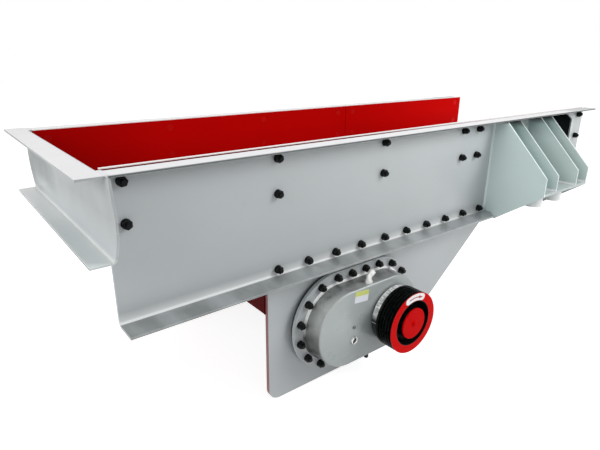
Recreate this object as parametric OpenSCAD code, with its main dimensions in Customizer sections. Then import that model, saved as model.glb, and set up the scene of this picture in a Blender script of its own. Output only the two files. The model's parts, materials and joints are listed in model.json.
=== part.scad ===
// Exciter-driven linear vibratory feeder, millimetres.
// +X runs from the feed end to the discharge end, +Z is up, the drive pulley is on the -Y side.
// The origin is the middle of the spring seat under the feed end plate.

/* [Trough] */
// Length of the side plates
trough_len = 3806; // [3400:1:4200]
// Width over the outer faces of the two side plates
trough_w = 1190; // [1100:2:1300]
// Height of the side plates, over both flanges
plate_h = 635; // [600:1:680]
// Thickness of the folded side plates
plate_t = 10; // [8:1:14]
// Inner radius of the folds
bend_r = 8; // [4:1:10]
// Outward width of the top flanges
top_flange_w = 92; // [80:1:110]
// Outward width of the bottom flanges
low_flange_w = 125; // [115:1:140]

/* [Feed end] */
// Depth of the spring seat flange at the feed end
seat_w = 88; // [70:1:110]
// Height from the spring seat face to the top of the trough
seat_drop = 338; // [330:1:350]
// Depth of the feed end plate's top flange
lip_w = 99; // [80:1:120]
// Thickness of the folded feed end plate
web_t = 10; // [8:1:12]

/* [Deck] */
// Thickness of the pan plate
deck_t = 16; // [10:1:20]
// Length of the closed pan, where the grizzly section starts
deck_len = 2272; // [2200:1:2330]
// Number of grizzly bars
bar_n = 9; // [5:1:10]
// Width of a grizzly bar at its top
bar_w = 70; // [50:1:80]
// Height of a grizzly bar
bar_h = 90; // [70:1:110]

/* [Liners] */
// Thickness of the side liners
liner_t = 16; // [10:1:20]
// Thickness of the rubber behind the liners
rubber_t = 6; // [4:1:8]
// How far the liners stand above the top flanges
liner_up = 4; // [0:1:8]
// Bolt size of the liner and exciter plate bolts
bolt_d = 24; // [20:1:27]

/* [Exciter] */
// Distance between the two exciter shafts
shaft_gap = 312; // [312:1:312]
// Distance of the first shaft from the side plates' feed end
shaft_x = 1135; // [1120:1:1150]
// Depth of the shafts below the top of the trough
shaft_drop = 988; // [970:1:1000]
// Thickness of the exciter side plates
carrier_t = 25; // [20:1:30]
// Radius of the exciter flange ends
flange_r = 288; // [280:1:295]
// Radius of the bolt row in the exciter flange
bolt_r = 257; // [250:1:262]
// Radius of the gear cover ends
cover_r = 221; // [212:1:228]
// Depth of the gear cover in front of the exciter flange
cover_h = 122; // [110:1:140]

/* [Drive] */
// Outside radius of the pulley
pulley_r = 178; // [170:1:190]
// Number of V grooves
groove_n = 5; // [3:1:6]
// Shaft diameter in the pulley
nose_d = 75; // [60:1:80]
// Teeth of each timing gear
gear_teeth = 39; // [39:1:39]

/* [Discharge brackets] */
// Reach of the brackets beyond the side plates
bracket_reach = 398; // [380:1:420]
// Thickness of the bracket plates
rib_t = 12; // [10:1:16]
// Radius of a spring cup
cup_r = 55; // [50:1:60]
// Height of a spring cup
cup_h = 102; // [80:1:110]

/* [Hidden] */
$fn = 64;

// Levels and stations of the trough
x0 = seat_w / 2 + web_t;
x_end = x0 + trough_len;
half_w = trough_w / 2;
in_w = half_w - plate_t;
z_top = seat_drop;
z_low = z_top - plate_h;
z_shaft = z_top - shaft_drop;
x_seam = x0 + deck_len;
// Bolt columns of the liners, and the two rows
liner_cols = [71, 776, 1480, 2192, 2350, 3722];
liner_rows = [z_top - 48, z_top - 215];
// Bolt row that holds the exciter side plates
carrier_n = 10;
carrier_pitch = 187;
carrier_x0 = x0 + 772;
carrier_z = z_top - 595;
// Window in the side plates near the discharge end
win = [3180, 3642, z_top - 34, z_top - 296];
win_cut = [92, 46];
// Edge of the feed end plate: outward distance from the side plates, and height
wing = [[72, 0], [104, 44], [127, 92], [140, 135], [143, 186], [128, 249], [118, seat_drop]];
// Reach of its flanges past the side plates: near side at the fold and at the tip, far side
flange_ends = [92, 88];
lip_far_end = 170;
seat_far_end = 130;
// Corner cut from the far side plate at the feed end
far_cut = 115;
// Wear plate on the pan, tubes under it, and the section of a grizzly bar
wear_t = 10;
pan_beam_x = [420, 1140, 1860];
bar_taper = 16;
bar_edge = 22;
// Liners: joint gap, depth of the sunk bolt heads, and levels
liner_gap = 4;
sink_h = 8;
liner_z0 = z_top - 310;
liner_z1 = z_top + liner_up;
liner_y = in_w - rubber_t - liner_t;
// Exciter stations, as outward distances from the middle plane
x_shaft = x0 + shaft_x;
carrier_y = in_w;
carrier_in = in_w - carrier_t;
joint_t = 26;
joint_step = 14;
joint_y = in_w + joint_t;
cover_base_t = 20;
cover_y = joint_y + cover_base_t;
cover_front = cover_y + cover_h;
cover_wall = 12;
cover_edge_r = 10;
end_cover_h = 40;
cover_bolt_d = 24;
tube_r = 190;
tube_wall = 20;
bearing_w = 73;
bearing_r = 107.5;
ring_mid_r = 72.5;
run_gap = 0.05;
wall_y = joint_y - bearing_w - 4;
// Exciter side plates: outline stations
carrier_x1 = x0 + 718;
carrier_x2 = x0 + 2530;
carrier_foot_x = x0 + 1741;
carrier_bottom = z_top - 1360;
carrier_top = carrier_z + 48;
carrier_round = 68;
carrier_slope = 0.826;
cross_z = z_top - 848;
cross_t = 16;
// Shaft diameters
shaft_d = 100;
shaft_mid_d = 130;
gear_d = 90;
// Eccentric weights, two on each shaft
weight_w = 190;
weight_y = 270;
weight_r = 145;
weight_hub_r = 92;
// Fittings of the gear cover, from the first shaft and the cover's joint face
sight_at = [23, -76, 0];
sight_d = 30;
level_at = [22, 3, 0];
level_d = 14;
breather_at = [145, 0, 94];
breather_d = 24;
drain_at = [147, 0, 104];
drain_d = 14;
seal_r = nose_d / 2 + 6;
seal_cap_r = 100;
// Gears
gear_m = shaft_gap / gear_teeth;
gear_w = 60;
gear_y = cover_y + 12;
backlash = 0.7;
// Pulley stations
groove_pitch = 19;
groove_d = 17;
pulley_w = (groove_n - 1) * groove_pitch + 34;
pulley_y = half_w + 208;
nose_end = pulley_y + pulley_w;
ring_r = 167;
ring_y = half_w + 165;
// Bracket stations
rib_x = [2530, 2680, 2952, 3100];
knee_z = z_top - 329;
base_z = z_top - 430;
base_t = 16;
foot = [88, z_top - 666];
foot_in = 45;
rib_snipe = bend_r + 3;
cup_x = [x0 + 2659, x0 + 2916];
cup_y = half_w + 275;
cup_wall = 7;

// --- helpers -------------------------------------------------------------

// Plate drawn in X and Z, from y1 towards +Y
module xz_plate(y1, t) {
    translate([0, y1 + t, 0]) rotate([90, 0, 0]) linear_extrude(t) children();
}

// Puts children on the exciter's first shaft, with their Z pointing out of the near side
module at_exciter(y_out) {
    translate([x_shaft, -y_out, z_shaft]) rotate([90, 0, 0]) children();
}

// Copies its child to the far side
module far() {
    mirror([0, 1, 0]) children();
}

// Flat shape with two round ends, centred on the two shafts
module stadium(r) {
    circle(r);
    translate([shaft_gap, 0]) circle(r);
    translate([0, -r]) square([shaft_gap, 2 * r]);
}

// Raised body with two round ends and a rounded front edge
module stadium_boss(r, h, rf) {
    module edge() {
        square([r - rf, h]);
        square([r, h - rf]);
        translate([r - rf, h - rf]) circle(rf, $fn = 32);
    }
    rotate_extrude() edge();
    translate([shaft_gap, 0, 0]) rotate_extrude() edge();
    rotate([90, 0, 90]) linear_extrude(shaft_gap) {
        edge();
        mirror([1, 0]) edge();
    }
}

// Centres of the bolts round the exciter flange
function flange_bolts() = [
    for (k = [0:7]) let (a = 90 + k * 180 / 7) [bolt_r * cos(a), bolt_r * sin(a)],
    for (k = [0:7]) let (a = 270 + k * 180 / 7) [shaft_gap + bolt_r * cos(a), bolt_r * sin(a)],
    for (s = [-1, 1], k = [1, 2]) [k * shaft_gap / 3, s * bolt_r]
];

// Shank through a stack of plates, with washer, nut and thread end on its +Z side
module shank_and_nut(d, grip) {
    nut_af = 1.5 * d;
    washer_t = d / 6;
    nut_h = 0.85 * d;
    thread_end = 0.5 * d;
    translate([0, 0, -grip]) cylinder(d = d, h = grip + washer_t + nut_h + thread_end, $fn = 32);
    cylinder(d = 1.75 * d, h = washer_t, $fn = 32);
    translate([0, 0, washer_t]) cylinder(d = nut_af / cos(30), h = nut_h, $fn = 6);
}

// The same with a hexagon head on the -Z side
module hex_bolt(d, grip) {
    head_h = 0.63 * d;
    shank_and_nut(d, grip);
    translate([0, 0, -grip - head_h]) cylinder(d = 1.5 * d / cos(30), h = head_h, $fn = 6);
}

// Rolled square tube section, centred on X, with its top at Y = 0
module rolled_section(w, h, r) {
    translate([r - w / 2, -h]) square([w - 2 * r, h]);
    translate([-w / 2, r - h]) square([w, h - 2 * r]);
    for (x = [r - w / 2, w / 2 - r], y = [-r, r - h]) translate([x, y]) circle(r, $fn = 32);
}

// Folded channel section with its back on Y from 0 to h and its flanges towards +X
module channel_section(h, w, t, r) {
    intersection() {
        square([w, h]);
        translate([w, h]) difference() {
            rolled_section(2 * w, h, r + t);
            translate([0, -t]) rolled_section(2 * (w - t), h - 2 * t, r);
        }
    }
}

// Square tube across the trough, between the side plates
module cross_tube(x, top, w, h, wall) {
    translate([x, in_w, top]) rotate([90, 0, 0]) linear_extrude(2 * in_w) difference() {
        rolled_section(w, h, 2 * wall);
        translate([0, -wall]) rolled_section(w - 2 * wall, h - 2 * wall, wall);
    }
}

// --- trough --------------------------------------------------------------

// Folded side plate; the far one has its lower feed corner cut off
module side_plate(cut) {
    edge = -half_w - low_flange_w - 1;
    x_rib = x0 + rib_x[0];
    color("lightgray") difference() {
        translate([x0, -in_w, z_low]) rotate([90, 0, 90]) linear_extrude(trough_len)
            mirror([1, 0]) channel_section(plate_h, plate_t + low_flange_w, plate_t, bend_r);
        translate([x0 - 1, edge, z_top - plate_t - 1])
            cube([trough_len + 2, low_flange_w - top_flange_w + 1, plate_t + 2]);
        translate([0, 0, z_low - 1]) linear_extrude(plate_t + bend_r + 2) polygon([
            [x_rib - 80, edge], [x_rib, -half_w - 60], [x_rib, -half_w], [x_end + 1, -half_w],
            [x_end + 1, edge]]);
        if (cut > 0) xz_plate(edge, low_flange_w + plate_t + 2) polygon([
            [x0 - 1, z_low - 1], [x0 + cut + 1, z_low - 1], [x0 - 1, z_low + cut + 1]]);
        xz_plate(-half_w - 1, plate_t + 2) window();
        for (x = liner_cols, z = liner_rows) side_hole(x0 + x, z);
        for (i = [0:carrier_n - 1]) side_hole(carrier_x0 + i * carrier_pitch, carrier_z);
    }
}

module window() {
    polygon([
        [x0 + win[0], win[3] + win_cut[1]], [x0 + win[0], win[2] - win_cut[1]],
        [x0 + win[0] + win_cut[0], win[2]], [x0 + win[1] - win_cut[0], win[2]],
        [x0 + win[1], win[2] - win_cut[1]], [x0 + win[1], win[3] + win_cut[1]],
        [x0 + win[1] - win_cut[0], win[3]], [x0 + win[0] + win_cut[0], win[3]]]);
}

module side_hole(x, z) {
    translate([x, -half_w - 1, z]) rotate([-90, 0, 0]) cylinder(d = bolt_d + 2, h = 400);
}

module side_plate_near() side_plate(0);
module side_plate_far() far() side_plate(far_cut);

// Folded end plate: a channel trimmed to its edge seen from the end and from above
module feed_end_plate() {
    depth = web_t + max(lip_w, seat_w);
    y_max = half_w + 200;
    near = -half_w;
    x_fold = x0 - web_t;
    x_tip = x0 - depth;
    module plan(far_end) {
        polygon([
            [x0 + 1, -y_max], [x_fold, -y_max], [x_fold, near - flange_ends[0]],
            [x_tip - 1, near - flange_ends[1]], [x_tip - 1, half_w + far_end],
            [x_fold, half_w + far_end], [x_fold, y_max], [x0 + 1, y_max]]);
    }
    color("lightgray") intersection() {
        translate([x0, y_max, 0]) rotate([90, 0, 0]) linear_extrude(2 * y_max) difference() {
            mirror([1, 0]) channel_section(seat_drop, depth, web_t, bend_r);
            translate([-depth - 1, -1]) square([lip_w - seat_w + 1, web_t + 2]);
        }
        translate([x0 + 1, 0, 0]) rotate([90, 0, -90]) linear_extrude(depth + 2) polygon([
            for (p = wing) [half_w + p[0], p[1]],
            for (i = [len(wing) - 1:-1:0]) [near - wing[i][0], wing[i][1]]]);
        union() {
            translate([0, 0, -1]) linear_extrude(seat_drop / 2 + 1) plan(seat_far_end);
            translate([0, 0, seat_drop / 2]) linear_extrude(seat_drop) plan(lip_far_end);
        }
    }
}

module pan_plate() {
    color("firebrick") translate([x0, -in_w, 0]) cube([deck_len, 2 * in_w, deck_t]);
}

module pan_liner() {
    color("darkred") translate([x0, -liner_y, deck_t]) cube([deck_len, 2 * liner_y, wear_t]);
}

module pan_beam(i) {
    color("firebrick") cross_tube(x0 + pan_beam_x[i], 0, 120, 120, 10);
}
module pan_beam_1() pan_beam(0);
module pan_beam_2() pan_beam(1);
module pan_beam_3() pan_beam(2);

module grizzly_beam(x) {
    color("firebrick") cross_tube(x, deck_t - bar_h, 140, 120, 12);
}
module grizzly_beam_1() grizzly_beam(x_seam + 90);
module grizzly_beam_2() grizzly_beam(x_end - 110);

module grizzly_bars() {
    pitch = 2 * in_w / bar_n;
    color("firebrick") for (i = [0:bar_n - 1])
        translate([x_seam, -in_w + (i + 0.5) * pitch, deck_t - bar_h]) rotate([90, 0, 90])
            linear_extrude(x_end - x_seam - 20) polygon([
                [bar_taper - bar_w / 2, 0], [bar_w / 2 - bar_taper, 0], [bar_w / 2, bar_h - bar_edge],
                [bar_w / 2, bar_h], [-bar_w / 2, bar_h], [-bar_w / 2, bar_h - bar_edge]]);
}

// --- liners --------------------------------------------------------------

module liner(xa, xb) {
    color("crimson") difference() {
        xz_plate(-liner_y - liner_t, liner_t) translate([xa, liner_z0])
            square([xb - xa, liner_z1 - liner_z0]);
        for (x = liner_cols, z = liner_rows) translate([x0 + x, -liner_y + 1, z]) rotate([90, 0, 0]) {
            cylinder(d = bolt_d + 2, h = liner_t + 2);
            cylinder(d = 1.75 * bolt_d, h = sink_h + 1);
        }
    }
}
module liner_near_feed() liner(x0 + liner_gap, x_seam - liner_gap / 2);
module liner_near_discharge() liner(x_seam + liner_gap / 2, x_end - liner_gap);
module liner_far_feed() far() liner_near_feed();
module liner_far_discharge() far() liner_near_discharge();

module rubber() {
    color("black") difference() {
        xz_plate(-in_w, rubber_t) translate([x0 + liner_gap, liner_z0])
            square([trough_len - 2 * liner_gap, z_top - liner_z0]);
        for (x = liner_cols, z = liner_rows) side_hole(x0 + x, z);
    }
}
module rubber_near() rubber();
module rubber_far() far() rubber();

module liner_bolts() {
    grip = plate_t + rubber_t + liner_t - sink_h;
    head_h = sink_h - 1;
    color("black") for (x = liner_cols, z = liner_rows)
        translate([x0 + x, -half_w, z]) rotate([90, 0, 0]) {
            shank_and_nut(bolt_d, grip);
            translate([0, 0, -grip - head_h]) cylinder(d = 1.6 * bolt_d, h = head_h, $fn = 32);
        }
}
module liner_bolts_near() liner_bolts();
module liner_bolts_far() far() liner_bolts();

// --- exciter side plates -------------------------------------------------

module carrier_outline() {
    slope_top = carrier_bottom + (carrier_x2 - carrier_foot_x) * carrier_slope;
    r = carrier_round;
    difference() {
        union() {
            polygon([
                [carrier_x1, carrier_bottom + r], [carrier_x1 + r, carrier_bottom + r],
                [carrier_x1 + r, carrier_bottom], [carrier_foot_x, carrier_bottom],
                [carrier_x2, slope_top], [carrier_x2, carrier_top], [carrier_x1, carrier_top]]);
            translate([carrier_x1 + r, carrier_bottom + r]) circle(r);
        }
        translate([x_shaft, z_shaft]) stadium(tube_r + 1);
        for (p = flange_bolts()) translate([x_shaft + p[0], z_shaft + p[1]]) circle(d = cover_bolt_d + 2);
        for (i = [0:carrier_n - 1])
            translate([carrier_x0 + i * carrier_pitch, carrier_z]) circle(d = bolt_d + 2);
    }
}
module carrier() {
    color("lightgray") xz_plate(-in_w, carrier_t) carrier_outline();
}
module carrier_near() carrier();
module carrier_far() far() carrier();

module carrier_bolts() {
    color("black") for (i = [0:carrier_n - 1])
        translate([carrier_x0 + i * carrier_pitch, -half_w, carrier_z]) rotate([90, 0, 0])
            hex_bolt(bolt_d, plate_t + carrier_t);
}
module carrier_bolts_near() carrier_bolts();
module carrier_bolts_far() far() carrier_bolts();

module cross_plate(x, drop) {
    color("firebrick") translate([x, -carrier_in, drop]) cube([cross_t, 2 * carrier_in, z_low - drop]);
}
module cross_plate_feed() cross_plate(carrier_x1 + 2, cross_z);
module cross_plate_discharge() cross_plate(carrier_x2 - 40, z_low - 80);

// --- exciter -------------------------------------------------------------

module exciter_housing() {
    body = joint_y + carrier_y;
    color("dimgray") difference() {
        at_exciter(joint_y) union() {
            translate([0, 0, -joint_t]) linear_extrude(joint_t) stadium(flange_r - joint_step);
            translate([0, 0, -body]) linear_extrude(body) stadium(tube_r);
        }
        at_exciter(wall_y) translate([0, 0, -wall_y - carrier_y + bearing_w + 4])
            linear_extrude(wall_y + carrier_y - bearing_w - 4) stadium(tube_r - tube_wall);
        for (x = [0, shaft_gap]) translate([x, 0, 0]) at_exciter(joint_y + 1)
            translate([0, 0, -body - 2]) cylinder(r = bearing_r, h = body + 4);
        at_exciter(joint_y + 1) for (p = flange_bolts()) translate([p[0], p[1], -joint_t - 2])
            cylinder(d = cover_bolt_d + 2, h = joint_t + 3, $fn = 32);
    }
}

// Cast cover: a bolted flange and a hollow body of height h
module cast_cover(h) {
    difference() {
        union() {
            linear_extrude(cover_base_t) stadium(flange_r);
            translate([0, 0, cover_base_t - 1]) stadium_boss(cover_r, h + 1, cover_edge_r);
        }
        translate([0, 0, -1]) linear_extrude(cover_base_t + h - cover_wall + 1)
            stadium(cover_r - cover_wall);
        for (p = flange_bolts()) translate([p[0], p[1], -1])
            cylinder(d = cover_bolt_d + 2, h = cover_base_t + 2, $fn = 32);
    }
}

module gear_cover() {
    color("lightgray") at_exciter(joint_y) difference() {
        cast_cover(cover_h);
        translate([shaft_gap, 0, 0]) cylinder(r = seal_r, h = cover_front);
        translate([0, 0, cover_base_t]) {
            translate(sight_at) cylinder(d = sight_d, h = cover_h + 1);
            translate(level_at) cylinder(d = level_d, h = cover_h + 1);
            translate(breather_at) rotate([-90, 0, 0]) cylinder(d = breather_d, h = cover_r);
            translate(drain_at) rotate([90, 0, 0]) cylinder(d = drain_d, h = cover_r);
        }
    }
}

module end_cover() {
    color("lightgray") far() at_exciter(carrier_y) cast_cover(end_cover_h);
}

module cover_bolts(grip) {
    color("black") for (p = flange_bolts()) translate([p[0], p[1], 0])
        hex_bolt(cover_bolt_d, grip);
}
module cover_bolts_near() at_exciter(cover_y) cover_bolts(cover_base_t + joint_t + carrier_t);
module cover_bolts_far() far() at_exciter(carrier_y + cover_base_t) cover_bolts(cover_base_t + carrier_t);

// Stepped shaft from the gear side to the far bearing, y as outward distances
module shaft_body() {
    at_exciter(0) {
        translate([0, 0, -carrier_y - 8]) cylinder(d = shaft_d, h = carrier_y + 8 + joint_y);
        translate([0, 0, -wall_y + 30]) cylinder(d = shaft_mid_d, h = 2 * (wall_y - 30));
        translate([0, 0, joint_y]) cylinder(d = gear_d, h = gear_y - joint_y + gear_w + 12);
    }
}
module drive_shaft() {
    color("silver") translate([shaft_gap, 0, 0]) {
        shaft_body();
        at_exciter(0) cylinder(d = nose_d, h = nose_end);
    }
}
module driven_shaft() {
    color("silver") shaft_body();
}

// Involute gear with its first tooth on +X
function inv(a) = tan(a) * 180 / PI - a;
function half_tooth(r, rp, rb, thin) =
    90 / gear_teeth - thin * 90 / (PI * rp) + inv(acos(rb / rp)) - (r > rb ? inv(acos(rb / r)) : 0);
module timing_gear() {
    rp = gear_m * gear_teeth / 2;
    rb = rp * cos(20);
    ra = rp + gear_m;
    rr = rp - 1.25 * gear_m;
    steps = 5;
    radii = [rr, for (k = [0:steps]) rb + (ra - rb) * k / steps];
    points = [
        for (i = [0:gear_teeth - 1], s = [-1, 1], k = [0:steps + 1])
            let (r = radii[s < 0 ? k : steps + 1 - k],
                a = i * 360 / gear_teeth + s * half_tooth(r, rp, rb, backlash))
            [r * cos(a), r * sin(a)]
    ];
    color("gray") at_exciter(gear_y) difference() {
        linear_extrude(gear_w) polygon(points);
        translate([0, 0, -1]) cylinder(d = gear_d, h = gear_w + 2);
        for (a = [30:60:330]) rotate(a) translate([98, 0, -1]) cylinder(d = 56, h = gear_w + 2);
    }
}
module drive_gear() translate([shaft_gap, 0, 0]) timing_gear();
module driven_gear() timing_gear();

// Half-disc weights on the middle of a shaft, hanging down at rest
module weights() {
    w = weight_w;
    color("dimgray") for (s = [-1, 1]) at_exciter(s * weight_y - w / 2) difference() {
        union() {
            cylinder(r = weight_hub_r, h = w);
            intersection() {
                cylinder(r = weight_r, h = w);
                translate([-weight_r, -weight_r, 0]) cube([2 * weight_r, weight_r, w]);
            }
        }
        translate([0, 0, -1]) cylinder(d = shaft_mid_d, h = w + 2);
    }
}
module drive_weights() translate([shaft_gap, 0, 0]) weights();
module driven_weights() weights();

module ring(ro, ri, h) {
    difference() {
        cylinder(r = ro, h = h);
        translate([0, 0, -1]) cylinder(r = ri, h = h + 2);
    }
}
// A ring in each of the two bearing seats
module bearing_rings(ro, ri) {
    at_exciter(joint_y - 2 - bearing_w) ring(ro, ri, bearing_w);
    far() at_exciter(carrier_y - 2 - bearing_w) ring(ro, ri, bearing_w);
}
module inner_rings() {
    color("silver") bearing_rings(ring_mid_r, shaft_d / 2);
}
module outer_rings() {
    color("gray") bearing_rings(bearing_r, ring_mid_r + run_gap);
}
module drive_inner_rings() translate([shaft_gap, 0, 0]) inner_rings();
module driven_inner_rings() inner_rings();
module drive_outer_rings() translate([shaft_gap, 0, 0]) outer_rings();
module driven_outer_rings() outer_rings();

// --- drive end -----------------------------------------------------------

module at_nose(y_out) {
    translate([shaft_gap, 0, 0]) at_exciter(y_out) children();
}

module seal_cap() {
    bore = nose_d / 2 + run_gap;
    color("lightgray") at_nose(cover_front) rotate_extrude() polygon([
        [bore, -4], [seal_r - 1, -4], [seal_r - 1, 0], [seal_cap_r, 0], [seal_cap_r, 3],
        [seal_cap_r - 1, 4], [bore, 4]]);
}

module slinger_ring() {
    color("silver") at_nose(ring_y) rotate_extrude() polygon([
        [nose_d / 2, 24], [120, 24], [120, 4], [ring_r - 4, 0], [ring_r, 4], [ring_r, 39],
        [ring_r - 4, 43], [nose_d / 2, 43]]);
}

module pulley() {
    rim_r = 130;
    hub_r = 89;
    grooves = [
        for (i = [0:groove_n - 1]) let (y = 21.5 + i * groove_pitch)
            each [[pulley_r, y - 8], [pulley_r - groove_d, y - 3.5], [pulley_r - groove_d, y + 3.5],
                [pulley_r, y + 8]]
    ];
    color("black") at_nose(pulley_y) rotate_extrude() polygon(concat(
        [[nose_d / 2, 0], [pulley_r, 0]], grooves,
        [[pulley_r, pulley_w], [rim_r, pulley_w], [rim_r - 3, 34], [hub_r, 34], [hub_r, pulley_w],
            [nose_d / 2, pulley_w]]));
}

module hub_cap() {
    color("red") at_nose(nose_end) rotate_extrude() polygon([
        [0, 0], [89, 0], [89, 6], [87, 8], [20, 8], [18, 11], [0, 11]]);
}

module breather() {
    pipe_d = 30;
    bend_at = 30;
    pipe_h = 36;
    color("white") at_exciter(cover_y) translate([breather_at[0], cover_r - cover_wall, breather_at[2]])
        rotate([-90, 0, 0]) {
            cylinder(d = breather_d, h = cover_wall + 8);
            translate([0, 0, cover_wall]) cylinder(d = 44, h = 14, $fn = 6);
            translate([0, 0, cover_wall + 14]) cylinder(d = pipe_d, h = pipe_h - cover_wall - 14);
            translate([bend_at, 0, pipe_h]) {
                rotate([90, 0, 180]) rotate_extrude(angle = 50) translate([bend_at, 0])
                    circle(d = pipe_d, $fn = 32);
                rotate([0, 50, 0]) translate([-bend_at, 0, 0]) cylinder(d = 37, h = 22);
            }
        }
}

module level_plug() {
    color("dimgray") at_exciter(cover_front - cover_wall) translate(level_at) {
        cylinder(d = level_d, h = cover_wall, $fn = 32);
        translate([0, 0, cover_wall]) cylinder(d = 20, h = 7, $fn = 6);
    }
}

module sight_glass() {
    color("silver") at_exciter(cover_front - cover_wall) translate(sight_at) {
        cylinder(d = sight_d, h = cover_wall);
        translate([0, 0, cover_wall]) difference() {
            cylinder(d = 42, h = 9);
            translate([0, 0, 4]) cylinder(d = 28, h = 6);
        }
    }
}

module drain_plug() {
    color("dimgray") at_exciter(cover_y) translate([drain_at[0], cover_wall - cover_r, drain_at[2]])
        rotate([90, 0, 0]) {
            cylinder(d = drain_d, h = cover_wall + 4, $fn = 32);
            translate([0, 0, cover_wall + 2]) cylinder(d = 26, h = 20, $fn = 6);
        }
}

// --- discharge brackets --------------------------------------------------

// Rib outline with X as outward distance from the side plate and Y as height
module rib_outline(lower) {
    under = z_top - plate_t;
    polygon([
        [0, under - rib_snipe], [rib_snipe, under], [top_flange_w - 4, under],
        [bracket_reach, knee_z], [bracket_reach, lower ? base_z - base_t : base_z],
        each lower ? [foot, [foot_in, z_low], [0, z_low]] : [[0, base_z]]]);
}

module bracket_ribs() {
    color("lightgray") for (i = [0:3]) translate([x0 + rib_x[i], -half_w, 0])
        rotate([90, 0, -90]) mirror([0, 0, 1]) linear_extrude(rib_t) rib_outline(i == 0 || i == 3);
}
module bracket_ribs_near() bracket_ribs();
module bracket_ribs_far() far() bracket_ribs();

module bracket_base() {
    xa = x0 + rib_x[0] + rib_t;
    xb = x0 + rib_x[3];
    color("lightgray") translate([xa, -half_w - bracket_reach, base_z - base_t])
        cube([xb - xa, bracket_reach, base_t]);
}
module bracket_base_near() bracket_base();
module bracket_base_far() far() bracket_base();

module spring_cup(i) {
    color("whitesmoke") translate([cup_x[i], -cup_y, base_z - base_t - cup_h])
        difference() {
            cylinder(r = cup_r, h = cup_h);
            translate([0, 0, -1]) cylinder(r = cup_r - cup_wall, h = cup_h - 9);
        }
}
module spring_cup_near_1() spring_cup(0);
module spring_cup_near_2() spring_cup(1);
module spring_cup_far_1() far() spring_cup(0);
module spring_cup_far_2() far() spring_cup(1);

// --- output --------------------------------------------------------------

side_plate_near();
side_plate_far();
feed_end_plate();
pan_plate();
pan_liner();
pan_beam_1();
pan_beam_2();
pan_beam_3();
grizzly_beam_1();
grizzly_beam_2();
grizzly_bars();
liner_near_feed();
liner_near_discharge();
liner_far_feed();
liner_far_discharge();
rubber_near();
rubber_far();
liner_bolts_near();
liner_bolts_far();
carrier_near();
carrier_far();
carrier_bolts_near();
carrier_bolts_far();
cross_plate_feed();
cross_plate_discharge();
exciter_housing();
gear_cover();
end_cover();
cover_bolts_near();
cover_bolts_far();
drive_shaft();
driven_shaft();
drive_gear();
driven_gear();
drive_weights();
driven_weights();
drive_inner_rings();
driven_inner_rings();
drive_outer_rings();
driven_outer_rings();
seal_cap();
slinger_ring();
pulley();
hub_cap();
breather();
level_plug();
sight_glass();
drain_plug();
bracket_ribs_near();
bracket_ribs_far();
bracket_base_near();
bracket_base_far();
spring_cup_near_1();
spring_cup_near_2();
spring_cup_far_1();
spring_cup_far_2();
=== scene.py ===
"""Looks of a linear vibratory feeder: finishes, welds, fasteners, a blank plate and the studio."""

import json
import math

import bmesh
import bpy
from mathutils import Euler, Matrix, Vector


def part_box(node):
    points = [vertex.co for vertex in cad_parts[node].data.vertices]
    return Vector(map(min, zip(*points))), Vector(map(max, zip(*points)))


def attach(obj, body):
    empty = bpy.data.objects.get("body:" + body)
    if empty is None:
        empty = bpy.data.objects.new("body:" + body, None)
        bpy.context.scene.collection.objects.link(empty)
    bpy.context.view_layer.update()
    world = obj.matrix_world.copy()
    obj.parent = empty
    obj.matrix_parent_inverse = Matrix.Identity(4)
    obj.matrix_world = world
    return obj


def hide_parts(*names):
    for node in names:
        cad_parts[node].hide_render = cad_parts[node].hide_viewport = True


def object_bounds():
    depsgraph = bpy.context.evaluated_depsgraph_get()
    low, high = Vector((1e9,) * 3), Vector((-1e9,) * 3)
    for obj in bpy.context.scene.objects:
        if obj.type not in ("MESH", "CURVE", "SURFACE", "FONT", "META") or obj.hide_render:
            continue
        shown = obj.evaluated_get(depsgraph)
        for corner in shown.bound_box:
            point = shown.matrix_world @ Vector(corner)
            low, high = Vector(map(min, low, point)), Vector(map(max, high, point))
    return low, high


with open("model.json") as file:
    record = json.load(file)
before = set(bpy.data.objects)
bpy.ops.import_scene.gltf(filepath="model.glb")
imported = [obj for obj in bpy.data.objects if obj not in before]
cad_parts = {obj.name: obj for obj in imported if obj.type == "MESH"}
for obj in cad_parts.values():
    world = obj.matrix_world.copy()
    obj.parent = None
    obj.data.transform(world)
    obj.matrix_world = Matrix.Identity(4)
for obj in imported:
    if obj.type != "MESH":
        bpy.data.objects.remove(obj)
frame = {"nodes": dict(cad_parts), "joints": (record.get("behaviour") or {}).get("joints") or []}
cad_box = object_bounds()
nodes = frame["nodes"]
joints = {j["name"]: Vector(j["pos_m"]) for j in frame["joints"]}

# --- measures, in metres ---

MM = 0.001

# Sizes of the CAD model that no node's box gives
COVER_R = 221 * MM  # radius of the covers' round ends
COVER_FLANGE = 20 * MM  # thickness of the covers' bolt flange
FLANGE_W = 92 * MM  # width of the side plates' top flange
TUBE_R = 190 * MM  # radius of the exciter body where it passes its side plates
RIM_R = 132.5 * MM  # inner radius of the pulley's red rim

# Places taken from the frame; the near side's values of Y are given without their sign
plate_lo, plate_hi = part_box("side_plate_near")
x_feed, x_end = plate_lo.x, plate_hi.x
z_low, z_top = plate_lo.z, plate_hi.z
y_in = -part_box("carrier_near")[0].y  # faces of the side plates
y_out = -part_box("bracket_base_near")[1].y
plate_t = y_out - y_in
z_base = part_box("bracket_base_near")[1].z
x_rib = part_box("bracket_ribs_near")[0].x
web_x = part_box("pan_plate")[0].x  # the feed end plate's face to the trough
cover_front = -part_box("gear_cover")[0].y
cover_flange_y = -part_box("gear_cover")[1].y + COVER_FLANGE
end_flange_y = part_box("end_cover")[0].y + COVER_FLANGE
lip_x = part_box("feed_end_plate")[0].x
rim_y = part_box("pulley")[0].y  # with its sign
drive = joints["drive_spin"]
driven = joints["driven_spin"]

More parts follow.
